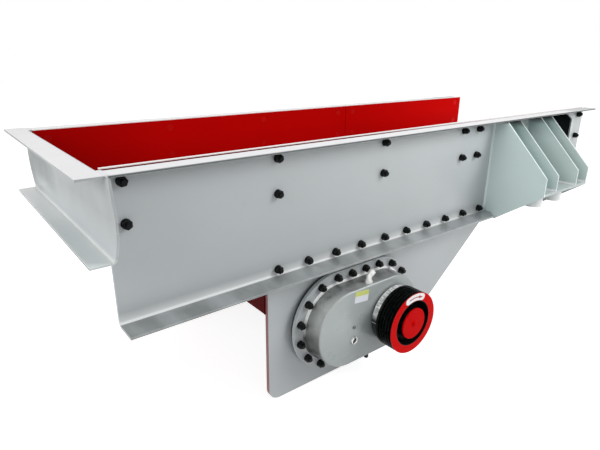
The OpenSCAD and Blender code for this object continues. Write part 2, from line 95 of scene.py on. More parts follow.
OUT_NEAR = Vector((0, -1, 0))
OUT_FAR = Vector((0, 1, 0))
SIDES = (("near", OUT_NEAR), ("far", OUT_FAR))
UP = Vector((0, 0, 1))
ALONG = Vector((1, 0, 0))

# --- camera ---

CAMERA_AT = (-0.434, -2.379, 0.738)
CAMERA_YAW = math.radians(38.04)
CAMERA_PITCH = math.radians(19.37)
CAMERA_ROLL = math.radians(0.40)
LENS = 29.39  # focal length in mm on a sensor of SENSOR mm
SENSOR = 36.0


def make_camera():
    """Camera at the viewing angle: yaw from +Y towards +X, pitch down, and a slight roll."""
    data = bpy.data.cameras.new("camera")
    data.lens = LENS
    data.sensor_width = SENSOR
    camera = bpy.data.objects.new("camera", data)
    bpy.context.scene.collection.objects.link(camera)
    camera.location = CAMERA_AT
    turn = Euler((math.pi / 2 - CAMERA_PITCH, 0, -CAMERA_YAW)).to_matrix()
    camera.rotation_euler = (turn @ Matrix.Rotation(CAMERA_ROLL, 3, "Z")).to_euler()
    bpy.context.scene.camera = camera


# --- materials ---


class Shader:
    """A material with one Principled shader, and short calls to add and link its nodes."""

    def __init__(self, name, roughness=0.5, metallic=0.0):
        self.material = bpy.data.materials.new(name)
        self.material.use_nodes = True
        self.tree = self.material.node_tree
        self.surface = self.tree.nodes["Principled BSDF"]
        self.surface.inputs["Roughness"].default_value = roughness
        self.surface.inputs["Metallic"].default_value = metallic
        self.place = self.node("TexCoord").outputs["Object"]

    def node(self, kind):
        """A new node of the material."""
        return self.tree.nodes.new("ShaderNode" + kind)

    def put(self, socket, value):
        """Links value to the socket if it is another socket, and sets it otherwise."""
        if isinstance(value, bpy.types.NodeSocket):
            self.tree.links.new(value, socket)
        else:
            socket.default_value = value

    def set(self, **inputs):
        """Sets or links inputs of the Principled shader, with _ for each space."""
        for name, value in inputs.items():
            self.put(self.surface.inputs[name.replace("_", " ")], value)

    def noise(self, scale, detail=3.0, stretch=(1, 1, 1)):
        """Noise from 0 to 1 in the machine's frame; scale is in blotches per metre."""
        mapping = self.node("Mapping")
        mapping.inputs["Scale"].default_value = stretch
        self.put(mapping.inputs["Vector"], self.place)
        noise = self.node("TexNoise")
        noise.inputs["Scale"].default_value = scale
        noise.inputs["Detail"].default_value = detail
        self.put(noise.inputs["Vector"], mapping.outputs["Vector"])
        return noise.outputs["Fac"]

    def maths(self, operation, a, b=0.0):
        """One Math node's result."""
        node = self.node("Math")
        node.operation = operation
        self.put(node.inputs[0], a)
        self.put(node.inputs[1], b)
        return node.outputs[0]

    def times(self, a, b):
        """Product of a and b."""
        return self.maths("MULTIPLY", a, b)

    def below(self, a, b):
        """1 where a is less than b, 0 elsewhere."""
        return self.maths("LESS_THAN", a, b)

    def above(self, a, b):
        """1 where a is greater than b, 0 elsewhere."""
        return self.maths("GREATER_THAN", a, b)

    def ramp(self, value, low, high, to_low=0.0, to_high=1.0):
        """Maps low..high to to_low..to_high, clamped."""
        node = self.node("MapRange")
        self.put(node.inputs["Value"], value)
        for name, number in zip(("From Min", "From Max", "To Min", "To Max"),
                                (low, high, to_low, to_high)):
            node.inputs[name].default_value = number
        return node.outputs["Result"]

    def mix(self, share, a, b):
        """Colour a where share is 0 and b where it is 1."""
        node = self.node("Mix")
        node.data_type = "RGBA"
        self.put(node.inputs["Factor"], share)
        self.put(node.inputs["A"], a if isinstance(a, bpy.types.NodeSocket) else (*a, 1))
        self.put(node.inputs["B"], b if isinstance(b, bpy.types.NodeSocket) else (*b, 1))
        return node.outputs["Result"]

    def axis(self, letter):
        """One coordinate of the shaded point in the machine's frame, in metres."""
        node = self.node("SeparateXYZ")
        self.put(node.inputs[0], self.place)
        return node.outputs[letter]

    def normal(self, letter):
        """One part of the surface's direction in the machine's frame."""
        geometry = self.node("NewGeometry")
        node = self.node("SeparateXYZ")
        self.put(node.inputs[0], geometry.outputs["Normal"])
        return node.outputs[letter]

    def table(self, value, low, high, stops):
        """Colour from a table of (value, colour) pairs between low and high."""
        node = self.node("ValToRGB")
        self.put(node.inputs["Fac"], self.ramp(value, low, high))
        elements = node.color_ramp.elements
        while len(elements) < len(stops):
            elements.new(0.5)
        for element, (at, colour) in zip(elements, stops):
            element.position = (at - low) / (high - low)
            element.color = (*colour, 1)
        return node.outputs["Color"]

    def angle(self):
        """Direction in which the surface faces, in degrees from +X towards +Z."""
        turn = self.maths("ARCTAN2", self.normal("Z"), self.normal("X"))
        return self.times(turn, 180 / math.pi)

    def off_middle(self):
        """Distance of the shaded point from the machine's middle plane."""
        return self.maths("ABSOLUTE", self.axis("Y"))

    def radius_about(self, centre):
        """Distance of the shaded point from an axis along Y through centre."""
        dx = self.maths("SUBTRACT", self.axis("X"), centre.x)
        dz = self.maths("SUBTRACT", self.axis("Z"), centre.z)
        return self.maths("SQRT", self.maths("ADD", self.times(dx, dx), self.times(dz, dz)))

    def edges(self, radius):
        """1 along outer and inner edges, 0 on flat faces."""
        bevel = self.node("Bevel")
        bevel.samples = 6
        bevel.inputs["Radius"].default_value = radius
        geometry = self.node("NewGeometry")
        dot = self.node("VectorMath")
        dot.operation = "DOT_PRODUCT"
        self.put(dot.inputs[0], bevel.outputs["Normal"])
        self.put(dot.inputs[1], geometry.outputs["Normal"])
        return self.ramp(dot.outputs["Value"], 0.98, 0.80)

    def bump(self, height, distance, strength):
        """Relief of the surface, distance metres deep at full strength."""
        node = self.node("Bump")
        node.inputs["Strength"].default_value = strength
        node.inputs["Distance"].default_value = distance
        self.put(node.inputs["Height"], height)
        self.put(self.surface.inputs["Normal"], node.outputs["Normal"])


# Colours, linear

GREY = (0.440, 0.465, 0.476)
# Paler grey that stands for painted light.
GREY_LIGHT = (0.60, 0.635, 0.64)
# The bottom flange: painted shade.
GREY_LOW = (0.185, 0.200, 0.201)
GREY_LOW_RIGHT = (0.285, 0.302, 0.306)
# Darker grey: painted shade on the side plates, random tone on the exciter body.
GREY_DARK = (0.25, 0.268, 0.278)
GREY_DUST = (0.40, 0.42, 0.42)
GREY_SPECK = (0.30, 0.31, 0.31)
GREEN = (0.62, 0.745, 0.725)
GREEN_INNER = (0.55, 0.65, 0.63)
GREEN_DEEP = (0.22, 0.33, 0.31)
GREEN_BASE = (0.38, 0.44, 0.43)
# The end plate's web and seat flange: painted reflection, shade and shadow.
WEB_LOW = (0.58, 0.61, 0.62)
WEB_HIGH = (0.38, 0.40, 0.40)
WEB_SHADE = (0.20, 0.225, 0.226)
WEB_FAR = (0.22, 0.235, 0.238)
GREY_SEAT = (0.75, 0.795, 0.795)
GREY_SHADE = (0.035, 0.045, 0.045)
# Top faces: painted light.
TOP_LEFT = (0.70, 0.692, 0.70)
TOP_RIGHT = (0.62, 0.62, 0.62)
COVER_FACE = (0.375, 0.41, 0.41)
COVER_FACE_LOW = (0.285, 0.318, 0.318)
# Painted shadow on the covers' faces round the drive shaft.
COVER_PULLEY_SHADE = (0.13, 0.15, 0.15)
WHITE = (1.0, 1.0, 1.0)
PALE = (0.80, 0.81, 0.80)
PALE_EDGE = (0.80, 0.80, 0.79)
PALE_CUP = (0.86, 0.885, 0.875)
PALE_RUBBER = (0.70, 0.64, 0.63)
# Trough red, darker toward the feed end as painted light.
RED_LEFT = (0.32, 0.0008, 0.0005)
RED_MIDDLE = (0.46, 0.0008, 0.0005)
RED_RIGHT = (0.59, 0.0008, 0.0005)
RED_DEEP = (0.24, 0.0005, 0.0004)
RED_DARK = (0.16, 0.002, 0.002)
RED_UNDER = (0.10, 0.001, 0.001)
RED_UNDER_DARK = (0.075, 0.001, 0.001)
BLACK = (0.0025, 0.003, 0.003)
BLACK_WORN = (0.008, 0.010, 0.010)
# Painted shade of the slinger ring's lower part.
SLINGER_SHADE = (0.010, 0.012, 0.012)
# Painted shade of the brackets under the top flange.
BRACKET_SHADE = (0.015, 0.022, 0.022)
SIGNAL_RED = (0.60, 0.0015, 0.002)


def painted(shader, colour, edge_colour, edge_share=0.5):
    """Sprayed machine paint over colour: blotches, orange peel, and pale edges for thin paint
    there with a painted highlight.
    """
    cloud = shader.ramp(shader.noise(1.6, 4.0), 0.3, 0.7, 0.0, 0.16)
    dull = shader.mix(cloud, colour, GREY_DUST)
    speck = shader.ramp(shader.noise(55.0, 2.0), 0.66, 0.74, 0.0, 0.10)
    worn = shader.mix(speck, dull, GREY_SPECK)
    # Pale edges: thin paint, and a painted highlight along them.
    edge = shader.times(shader.edges(3 * MM), edge_share)
    shader.set(Base_Color=shader.mix(edge, worn, edge_colour))
    shader.set(Roughness=shader.ramp(shader.noise(7.0, 3.0), 0.3, 0.7, 0.30, 0.44))
    shader.set(Coat_Weight=0.25, Coat_Roughness=0.22)
    shader.bump(shader.noise(260.0, 2.0), 0.4 * MM, 0.35)
    return shader.material


def grey_paint():
    """Machine grey, paler toward the top."""
    shader = Shader("grey_paint")
    up = shader.ramp(shader.axis("Z"), -0.9, 0.3)
    return painted(shader, shader.mix(up, GREY, GREY_LIGHT), PALE_EDGE)


def grey_outside_red_inside():
    """Grey on the outer face, red on the edges and the face turned to the inside."""
    shader = Shader("grey_outside_red_inside")
    inside = shader.below(shader.off_middle(), y_in - 0.5 * MM)
    colour = shader.mix(inside, GREY, RED_DARK)
    return painted(shader, colour, PALE_EDGE, 0.12)


def side_plate_paint():
    """Grey outside, red inside, with painted light: paler toward the discharge end and on top,
    darker low down and on the bottom flange, a painted highlight along the lower fold, a painted
    shadow under the top flange.
    """
    shader = Shader("side_plate_paint")
    off = shader.off_middle()
    height = shader.axis("Z")
    along = shader.axis("X")
    # Painted light: the outer face is paler toward the discharge end.
    grey = shader.mix(shader.ramp(along, 0.4, 3.4), GREY, GREY_LIGHT)
    # Painted shade: darker low down, and in a strip at the discharge end.
    dull = shader.times(shader.ramp(height, 0.22, -0.10, 0.0, 0.34),
                        shader.ramp(along, 0.3, 1.0, 0.4, 1.0))
    grey = shader.mix(dull, grey, GREY_DARK)
    end = shader.ramp(along, x_end - 0.14, x_end - 0.12, 0.0, 0.35)
    grey = shader.mix(end, grey, GREY_DARK)
    # Painted highlight along the lower fold.
    fold = shader.ramp(height, z_low + 11 * MM, z_low + 55 * MM, 0.85, 0.0)
    grey = shader.mix(fold, grey, PALE)
    # Painted shade: the bottom flange is darker, with random paler blotches.
    low = shader.times(shader.below(height, z_low + plate_t + 0.5 * MM),
                       shader.ramp(off, y_out + 9 * MM, y_out + 14 * MM))
    flange = shader.mix(shader.ramp(along, 0.9, 2.2), GREY_LOW, GREY_LOW_RIGHT)
    blotch = shader.ramp(shader.noise(7.0, 3.0, (1, 0.4, 1)), 0.40, 0.66, 0.0, 0.6)
    grey = shader.mix(low, grey, shader.mix(blotch, flange, GREY))
    # Painted light: the top faces are paler, and darker again near the discharge end.
    top = shader.above(height, z_top - 0.5 * MM)
    bright = shader.mix(shader.ramp(along, 2.2, 3.6), TOP_LEFT, TOP_RIGHT)
    bright = shader.mix(shader.ramp(along, 3.42, 3.56, 0.0, 0.85), bright, GREY_LOW_RIGHT)
    grey = shader.mix(top, grey, bright)
    # Painted shadow: the lower part of the top flange's outer edge and its underside are dark,
    # black toward the discharge end.
    rim = y_out + FLANGE_W
    edge = shader.times(shader.ramp(off, rim - 1 * MM, rim - 0.5 * MM),
                        shader.ramp(height, z_top - 3 * MM, z_top - 2 * MM, 1.0, 0.0))
    high = shader.above(height, z_top - plate_t - 1 * MM)
    dark = shader.mix(shader.ramp(along, 2.4, 2.7), GREY_SHADE, BLACK)
    under = shader.times(shader.below(shader.normal("Z"), -0.5),
                         shader.ramp(off, y_out + 1 * MM, y_out + 2 * MM))
    edge = shader.maths("MAXIMUM", edge, under)
    grey = shader.mix(shader.times(edge, high), grey, dark)
    inside = shader.below(off, y_in + 0.5 * MM)
    return painted(shader, shader.mix(inside, grey, RED_DARK), PALE_EDGE)


def end_plate_paint():
    """Grey outside, red on the face to the trough, with painted light: a paler web low down,
    shadow under the lip, shade on the far side, paler seat flange and lip, a highlight along the
    fold.
    """
    shader = Shader("end_plate_paint")
    height = shader.axis("Z")
    seat = shader.below(height, plate_t + 0.5 * MM)
    across = shader.axis("Y")
    # Painted reflection: the web is paler low down.
    web = shader.mix(shader.ramp(height, 0.06, 0.18), WEB_LOW, WEB_HIGH)
    # Painted shadow under the lip on the web's far upper part, and painted shade toward the far
    # side.
    painted_shade = shader.times(shader.ramp(across, 0.10, 0.30, 0.0, 0.85),
                        shader.ramp(height, 0.07, 0.13))
    web = shader.mix(painted_shade, web, WEB_SHADE)
    web = shader.mix(shader.ramp(across, 0.42, 0.62, 0.0, 0.8), web, WEB_FAR)
    # Painted light: the seat flange is paler, paler still toward the far side.
    flange = shader.mix(shader.ramp(across, -0.25, 0.55), GREY_SEAT, WHITE)
    grey = shader.mix(seat, web, flange)
    # Painted light: the lip's top face is paler.
    lip = shader.above(height, z_top - 0.5 * MM)
    grey = shader.mix(lip, grey, TOP_LEFT)
    # Painted shade along the seat flange's outer edge, low down.
    edge = shader.times(shader.below(height, 6 * MM),
                        shader.below(shader.axis("X"), lip_x + 11.5 * MM))
    grey = shader.mix(edge, grey, GREY_SHADE)
    # Painted highlight along the fold between web and seat flange.
    fold = shader.times(shader.ramp(height, plate_t, plate_t + 26 * MM, 0.9, 0.0),
                        shader.ramp(shader.axis("X"), web_x - 34 * MM, web_x - 16 * MM))
    grey = shader.mix(fold, grey, PALE)
    behind = shader.above(shader.axis("X"), web_x - 0.5 * MM)
    between = shader.below(shader.off_middle(), y_in)
    inside = shader.times(behind, between)
    material = painted(shader, shader.mix(inside, grey, RED_LEFT), PALE_EDGE)
    shader.set(Specular_IOR_Level=0.2, Coat_Weight=0.03)
    return material


def bracket_paint():
    """Grey-green, deeper on the inner ribs, with a painted highlight at their feet and painted
    shade under the top flange.
    """
    shader = Shader("bracket_paint")
    height = shader.axis("Z")
    inner = shader.ramp(shader.axis("X"), x_rib + 20 * MM, x_rib + 21 * MM)
    green = shader.mix(inner, GREEN, GREEN_INNER)
    # Painted shade: the inner ribs darken toward the top flange.
    deep = shader.ramp(height, z_top - 150 * MM, z_top - 40 * MM, 0.0, 0.75)
    green = shader.mix(shader.times(deep, inner), green, GREEN_DEEP)
    low = shader.below(height, z_base + 0.5 * MM)
    green = shader.mix(shader.times(low, inner), green, GREEN_BASE)
    # Painted highlight along the welds at the inner ribs' feet.
    foot = shader.times(shader.above(height, z_base + 0.5 * MM),
                        shader.ramp(height, z_base + 12 * MM, z_base + 15 * MM, 0.9, 0.0))
    green = shader.mix(shader.times(foot, inner), green, PALE)
    # Painted shade under the top flange, with a dark line right beneath it.
    painted_shade = shader.ramp(height, z_top - 55 * MM, z_top - 22 * MM, 0.0, 0.95)
    line = shader.ramp(height, z_top - 24 * MM, z_top - 16 * MM, 0.0, 0.9)
    painted_shade = shader.maths("MAXIMUM", shader.times(painted_shade, inner), line)
    return painted(shader, shader.mix(painted_shade, green, BRACKET_SHADE), PALE_EDGE, 0.7)


def plain_paint(name, colour):
    """Machine paint of one colour."""
    return painted(Shader(name), colour, PALE_EDGE, 0.4)


def trough_red(shader):
    """Satin red, darker toward the feed end and lower down as painted light and shade, with faint
    clouds.
    """
    # Painted light: darker toward the feed end, brighter toward the discharge end.
    tone = shader.mix(shader.ramp(shader.axis("X"), 0.0, 0.8), RED_LEFT, RED_MIDDLE)
    tone = shader.mix(shader.ramp(shader.axis("X"), 2.3, 3.2), tone, RED_RIGHT)
    # Painted shade lower down the trough.
    low = shader.ramp(shader.axis("Z"), 0.24, 0.08, 0.0, 0.30)
    cloud = shader.maths("ADD", low, shader.ramp(shader.noise(1.1, 3.0), 0.35, 0.65, 0.0, 0.10))
    return shader.mix(cloud, tone, RED_DEEP)


def red_paint():
    """Trough paint, with a painted highlight along the liners' top edges."""
    shader = Shader("red_paint")
    # Painted highlight: the liners' top faces are pale.
    top = shader.above(shader.axis("Z"), z_top - 0.5 * MM)
    shader.set(Base_Color=shader.mix(top, trough_red(shader), PALE_EDGE))
    shader.set(Roughness=shader.ramp(shader.noise(5.0, 3.0), 0.3, 0.7, 0.42, 0.58))
    shader.set(Specular_IOR_Level=0.02)
    shader.bump(shader.noise(240.0, 2.0), 0.4 * MM, 0.35)
    return shader.material


def dark_red_paint():
    """Dull red of the plates and beams under the trough."""
    shader = Shader("dark_red_paint", 0.5)
    shader.set(Base_Color=shader.mix(shader.noise(2.5), RED_UNDER, RED_UNDER_DARK))
    shader.set(Specular_IOR_Level=0.03)
    shader.bump(shader.noise(200.0, 2.0), 0.4 * MM, 0.4)
    return shader.material


def black_fastener():
    """Black bolts with worn and oily spots."""
    shader = Shader("black_fastener", 0.35)
    oil = shader.ramp(shader.noise(90.0, 3.0), 0.35, 0.7)
    shader.set(Base_Color=shader.mix(oil, BLACK, BLACK_WORN))
    shader.set(Roughness=shader.ramp(shader.noise(60.0), 0.3, 0.7, 0.22, 0.4))
    shader.set(Specular_IOR_Level=0.12)
    shader.bump(shader.noise(700.0, 2.0), 0.2 * MM, 0.3)
    return shader.material


def liner_fastener():
    """Black outside, painted over with the trough on the inside."""
    shader = Shader("liner_fastener", 0.42)
    inside = shader.below(shader.off_middle(), y_in)
    black = shader.mix(shader.ramp(shader.noise(90.0), 0.35, 0.7), BLACK, BLACK_WORN)
    shader.set(Base_Color=shader.mix(inside, black, trough_red(shader)))
    shader.set(Specular_IOR_Level=0.1)
    shader.bump(shader.noise(240.0, 2.0), 0.4 * MM, 0.35)
    return shader.material


def black_rubber():
    """Rubber sheet, whose upper edge took some of the trough's paint."""
    shader = Shader("black_rubber", 0.7)
    top = shader.above(shader.axis("Z"), z_top - 3 * MM)
    black = shader.mix(shader.noise(40.0), BLACK, BLACK_WORN)
    paint = shader.mix(shader.ramp(shader.axis("X"), 1.4, 2.6), RED_DARK, PALE_RUBBER)
    shader.set(Base_Color=shader.mix(top, black, paint))
    shader.set(Roughness=shader.ramp(shader.noise(9.0), 0.3, 0.7, 0.65, 0.85))
    shader.set(Specular_IOR_Level=0.0)
    shader.bump(shader.noise(420.0, 2.0), 0.3 * MM, 0.4)
    return shader.material


def slinger_steel():
    """Mottled bright ring behind the pulley, dark low down and underneath as painted shade."""
    shader = Shader("slinger_steel", 0.4, 0.4)
    spots = shader.ramp(shader.noise(70.0, 5.0, (1, 0.5, 1)), 0.40, 0.60)
    bright = shader.mix(spots, (0.42, 0.43, 0.42), (0.95, 0.95, 0.94))
    # Painted shade on the lower part and the underside.
    low = shader.ramp(shader.angle(), 160.0, 176.0)
    under = shader.below(shader.normal("Z"), -0.02)
    shaded_low = shader.maths("MAXIMUM", low, under)
    shader.set(Base_Color=shader.mix(shaded_low, bright, SLINGER_SHADE))
    shader.set(Roughness=shader.ramp(spots, 0.0, 1.0, 0.55, 0.3))
    shader.bump(spots, 0.3 * MM, 0.4)
    return shader.material


def turned_steel():
    """Bright steel with fine rings from the lathe."""
    shader = Shader("turned_steel", 0.28, 1.0)
    rings = shader.noise(60.0, 6.0, stretch=(0.4, 12.0, 0.4))
    shader.set(Base_Color=shader.mix(rings, (0.50, 0.51, 0.51), (0.72, 0.72, 0.71)))
    shader.set(Roughness=shader.ramp(rings, 0.3, 0.7, 0.22, 0.42))
    shader.bump(rings, 0.2 * MM, 0.3)
    return shader.material


def cast_iron():
    """Bare rough castings inside the exciter."""
    shader = Shader("cast_iron", 0.6, 0.7)
    shader.set(Base_Color=shader.mix(shader.noise(30.0), (0.09, 0.09, 0.088), (0.16, 0.155, 0.15)))
    shader.bump(shader.noise(300.0, 4.0), 0.6 * MM, 0.6)
    return shader.material


def housing_iron():
    """Cast iron of the exciter body; the joint under the cover is painted nearly black as shade.
    """
    shader = Shader("housing_iron", 0.5)
    # Painted shade in the joint under the cover.
    joint = shader.ramp(shader.off_middle(), y_in - 1 * MM, y_in)
    body = shader.mix(shader.noise(12.0), GREY_DARK, GREY)
    shader.set(Base_Color=shader.mix(joint, body, GREY_SHADE))
    shader.bump(shader.noise(240.0, 3.0), 0.5 * MM, 0.5)
    return shader.material


def pulley_paint():
    """Black iron; the rim's front face is signal red."""
    shader = Shader("pulley_paint", 0.35)
    front = shader.below(shader.axis("Y"), rim_y + 0.6 * MM)
    rim = shader.above(shader.radius_about(drive), RIM_R)
    red = shader.times(front, rim)
    black = shader.mix(shader.ramp(shader.noise(50.0), 0.4, 0.7), BLACK, BLACK_WORN)
    shader.set(Base_Color=shader.mix(red, black, SIGNAL_RED))
    shader.set(Roughness=shader.ramp(shader.noise(20.0), 0.3, 0.7, 0.2, 0.36))
    shader.set(Specular_IOR_Level=0.02, Coat_Roughness=0.12)
    shader.set(Coat_Weight=shader.ramp(red, 0.0, 1.0, 0.25, 0.0))
    shader.bump(shader.noise(350.0, 2.0), 0.3 * MM, 0.3)
    return shader.material


def signal_red():
    """The pulley's hub cap."""
    shader = Shader("signal_red", 0.4)
    shader.set(Base_Color=shader.mix(shader.noise(14.0), SIGNAL_RED, (0.52, 0.002, 0.003)))
    shader.set(Specular_IOR_Level=0.02)
    shader.bump(shader.noise(350.0, 2.0), 0.2 * MM, 0.25)
    return shader.material


def bright_zinc():
    """Plated pipe fitting."""
    shader = Shader("bright_zinc", 0.42, 0.3)
    shader.set(Base_Color=shader.mix(shader.noise(120.0), (0.74, 0.75, 0.74), (0.88, 0.88, 0.86)))
    shader.bump(shader.noise(500.0), 0.15 * MM, 0.25)
    return shader.material


def plug_bezel():
    """Worn plated ring of the sight glass, bright in spots."""
    shader = Shader("plug_bezel", 0.3, 0.6)
    worn = shader.ramp(shader.noise(60.0, 3.0), 0.42, 0.58)
    shader.set(Base_Color=shader.mix(worn, (0.30, 0.31, 0.31), (0.88, 0.88, 0.87)))
    shader.bump(worn, 0.3 * MM, 0.4)
    return shader.material


def oily_plug():
    """Grey plug with an oil film."""
    shader = Shader("oily_plug", 0.35)
    shader.set(Base_Color=shader.mix(shader.noise(90.0), (0.10, 0.108, 0.108), (0.16, 0.17, 0.17)))
    shader.bump(shader.noise(400.0), 0.2 * MM, 0.3)
    return shader.material


# Grey of a cover's side by the way it faces, in degrees from +X towards +Z: painted reflection
# and shade, dark underneath and lighter on the shoulder away from the pulley
COVER_SIDE = [(-180, 0.15), (-150, 0.03), (-120, 0.03), (0, 0.30), (60, 0.35), (90, 0.20),
              (135, 0.55), (180, 0.15)]


def cover_paint(name, flange_y):
    """Paint of a cast cover; its sides carry painted reflection and shade in bands, by how they
    face.
    """
    shader = Shader(name)
    off = shader.off_middle()
    side = shader.ramp(shader.maths("ABSOLUTE", shader.normal("Y")), 0.35, 0.8, 1.0, 0.0)
    drift = shader.ramp(shader.noise(9.0, 4.0), 0.3, 0.7, -12.0, 12.0)
    band = shader.table(shader.maths("ADD", shader.angle(), drift), -180, 180,
                        [(at, (0.96 * tone, tone, 0.98 * tone)) for at, tone in COVER_SIDE])
    # Painted shade: the sides darken toward their root at the flange.
    deep = shader.ramp(off, flange_y + 10 * MM, flange_y + 80 * MM, 0.42, 0.0)
    band = shader.mix(deep, band, GREY_SHADE)
    # Dark blotches on the upper side near the root.
    dark_blotches = shader.ramp(shader.noise(24.0, 4.0), 0.50, 0.62, 0.0, 0.75)
    for limit in (shader.ramp(shader.angle(), 140.0, 118.0),
                  shader.ramp(shader.angle(), 84.0, 92.0),
                  shader.ramp(off, flange_y + 95 * MM, flange_y + 40 * MM)):
        dark_blotches = shader.times(dark_blotches, limit)
    band = shader.mix(dark_blotches, band, GREY_SHADE)
    body = shader.above(off, flange_y + 0.5 * MM)
    # The face is darker toward the bottom.
    low = shader.ramp(shader.axis("Z"), drive.z - 0.13, drive.z + 0.06)
    face = shader.mix(low, COVER_FACE_LOW, COVER_FACE)
    # Painted shadow on the face round the drive shaft.
    close = shader.ramp(shader.radius_about(drive), 0.165, 0.25, 0.55, 0.0)
    face = shader.mix(close, face, COVER_PULLEY_SHADE)
    face = shader.mix(body, GREY, face)
    material = painted(shader, shader.mix(shader.times(side, body), face, band),
                       PALE_EDGE, 0.25)
    shader.set(Roughness=shader.ramp(shader.noise(9.0, 3.0), 0.3, 0.7, 0.26, 0.38))
    shader.set(Coat_Weight=0.3)
    return material


def cover_bead():
    """Bead at the root of the covers, pale as a painted highlight and dark low down as painted
    shade.
    """
    shader = Shader("cover_bead", 0.4)
    # Painted shade low down, painted highlight above.
    low = shader.ramp(shader.axis("Z"), drive.z - 0.03, drive.z + 0.07)
    shader.set(Base_Color=shader.mix(low, (0.05, 0.056, 0.055), (0.88, 0.88, 0.88)))
    shader.bump(shader.noise(300.0), 0.3 * MM, 0.4)
    return shader.material


def blank_plate_print():
    """White below, yellow-green along the top; nothing is printed on it."""
    shader = Shader("blank_plate_print", 0.35)
    top = shader.ramp(shader.axis("Z"), 3 * MM, 7 * MM)
    white = shader.mix(shader.noise(30.0), (0.74, 0.75, 0.82), (0.82, 0.83, 0.87))
    shader.set(Base_Color=shader.mix(top, white, (0.62, 0.66, 0.20)))
    shader.set(Coat_Weight=0.4, Coat_Roughness=0.1)
    shader.bump(shader.noise(260.0), 0.1 * MM, 0.2)
    return shader.material


def sticker(name, colour, other):
    """Printed film that wavers between two close colours."""
    shader = Shader(name, 0.35)
    shader.set(Base_Color=shader.mix(shader.noise(60.0), colour, other))
    shader.set(Roughness=shader.ramp(shader.noise(25.0), 0.3, 0.7, 0.28, 0.42))
    shader.bump(shader.noise(300.0), 0.1 * MM, 0.2)
    return shader.material


def sight_lens_glass():
    """Glass over a dark oil chamber, pale where there is air above the oil."""
    shader = Shader("sight_lens_glass", 0.06)
    oil = shader.below(shader.axis("Z"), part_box("sight_glass")[0].z + 20 * MM)
    shade = shader.mix(shader.noise(80.0), (0.030, 0.022, 0.014), (0.055, 0.040, 0.025))
    shader.set(Base_Color=shader.mix(oil, (0.42, 0.44, 0.44), shade))
    shader.set(Coat_Weight=1.0, Coat_Roughness=0.03)
    return shader.material


make_camera()
bpy.context.scene.view_settings.view_transform = "Standard"

MATERIALS = {
    "grey": grey_paint(),
    "grey_red": grey_outside_red_inside(),
    "side": side_plate_paint(),
    "end": end_plate_paint(),
    "red": red_paint(),
    "dark_red": dark_red_paint(),
    "fastener": black_fastener(),
    "liner_fastener": liner_fastener(),
    "rubber": black_rubber(),
    "steel": turned_steel(),
    "iron": cast_iron(),
    "housing": housing_iron(),
    "pulley": pulley_paint(),
    "signal": signal_red(),
    "zinc": bright_zinc(),
    "cover": cover_paint("cover_paint", cover_flange_y),
    "end_cover": cover_paint("end_cover_paint", end_flange_y),
    "cover_bead": cover_bead(),
    "slinger": slinger_steel(),
    "bezel": plug_bezel(),
    "plug": oily_plug(),
    "bracket": bracket_paint(),
    "cup": plain_paint("cup_paint", PALE_CUP),
    "seam": plain_paint("seam_paint", TOP_LEFT),
    "plate": blank_plate_print(),
    "white": sticker("white_band", (0.80, 0.78, 0.78), (0.86, 0.84, 0.84)),
    "arrow_red": sticker("arrow_red_ink", (0.30, 0.006, 0.02), (0.36, 0.01, 0.03)),
    "lens": sight_lens_glass(),
}

# The finish of each CAD node, by the start of its name; the first match counts
FINISH = [
    ("side_plate", "side"), ("feed_end_plate", "end"), ("pan_", "red"),
    ("grizzly_beam", "dark_red"), ("grizzly_bars", "red"), ("liner_bolts", "liner_fastener"),
    ("liner_", "red"), ("rubber", "rubber"), ("carrier_bolts", "fastener"),
    ("carrier_", "grey_red"), ("cross_plate", "dark_red"), ("cover_bolts", "fastener"),
    ("bracket", "bracket"), ("spring_cup", "cup"), ("gear_cover", "cover"),
    ("end_cover", "end_cover"), ("seal_cap", "cover"), ("exciter_housing", "housing"),
    ("slinger_ring", "slinger"), ("pulley", "pulley"), ("hub_cap", "signal"),
    ("breather", "zinc"), ("sight_glass", "bezel"), ("level_plug", "plug"),
    ("drain_plug", "fastener"), ("drive_gear", "steel"), ("driven_gear", "steel"),
    ("drive_shaft", "steel"), ("driven_shaft", "steel"), ("drive_inner", "steel"),
    ("driven_inner", "steel"), ("drive_", "iron"), ("driven_", "iron"),
]


def finish_cad_nodes():
    """Gives each CAD node its material."""
    for name, node in nodes.items():
        finish = next(f for start, f in FINISH if name.startswith(start))
        node.data.materials.clear()
        node.data.materials.append(MATERIALS[finish])


finish_cad_nodes()

# --- making pieces ---


def new_piece(name, mesh, finish, body, sharp):
    """A piece from a bmesh, which it uses up, riding on a CAD body.

    Edges are shaded smooth where they turn by less than sharp degrees.
    """
    bmesh.ops.recalc_face_normals(mesh, faces=mesh.faces)
    data = bpy.data.meshes.new(name)
    mesh.to_mesh(data)
    mesh.free()
    data.shade_smooth()
    data.set_sharp_from_angle(angle=math.radians(sharp))
    data.materials.append(MATERIALS[finish])
    piece = bpy.data.objects.new(name, data)
    bpy.context.scene.collection.objects.link(piece)
    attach(piece, body)
    return piece


def solids(name):
    """Lowest and highest corners of the separate solids in a CAD node."""
    mesh = bmesh.new()
    mesh.from_mesh(nodes[name].data)
    bmesh.ops.remove_doubles(mesh, verts=mesh.verts, dist=0.01 * MM)
    left = set(mesh.verts)
    boxes = []
    while left:
        reached = [left.pop()]
        cloud = []
        while reached:
            vert = reached.pop()
            cloud.append(vert.co.copy())
            near = [edge.other_vert(vert) for edge in vert.link_edges]
            reached += [other for other in near if other in left]
            left.difference_update(near)
        boxes.append(tuple(Vector([pick(co[k] for co in cloud) for k in range(3)])
                           for pick in (min, max)))
    mesh.free()
    return sorted(boxes, key=lambda b: (round(b[0].x, 4), b[0].z))


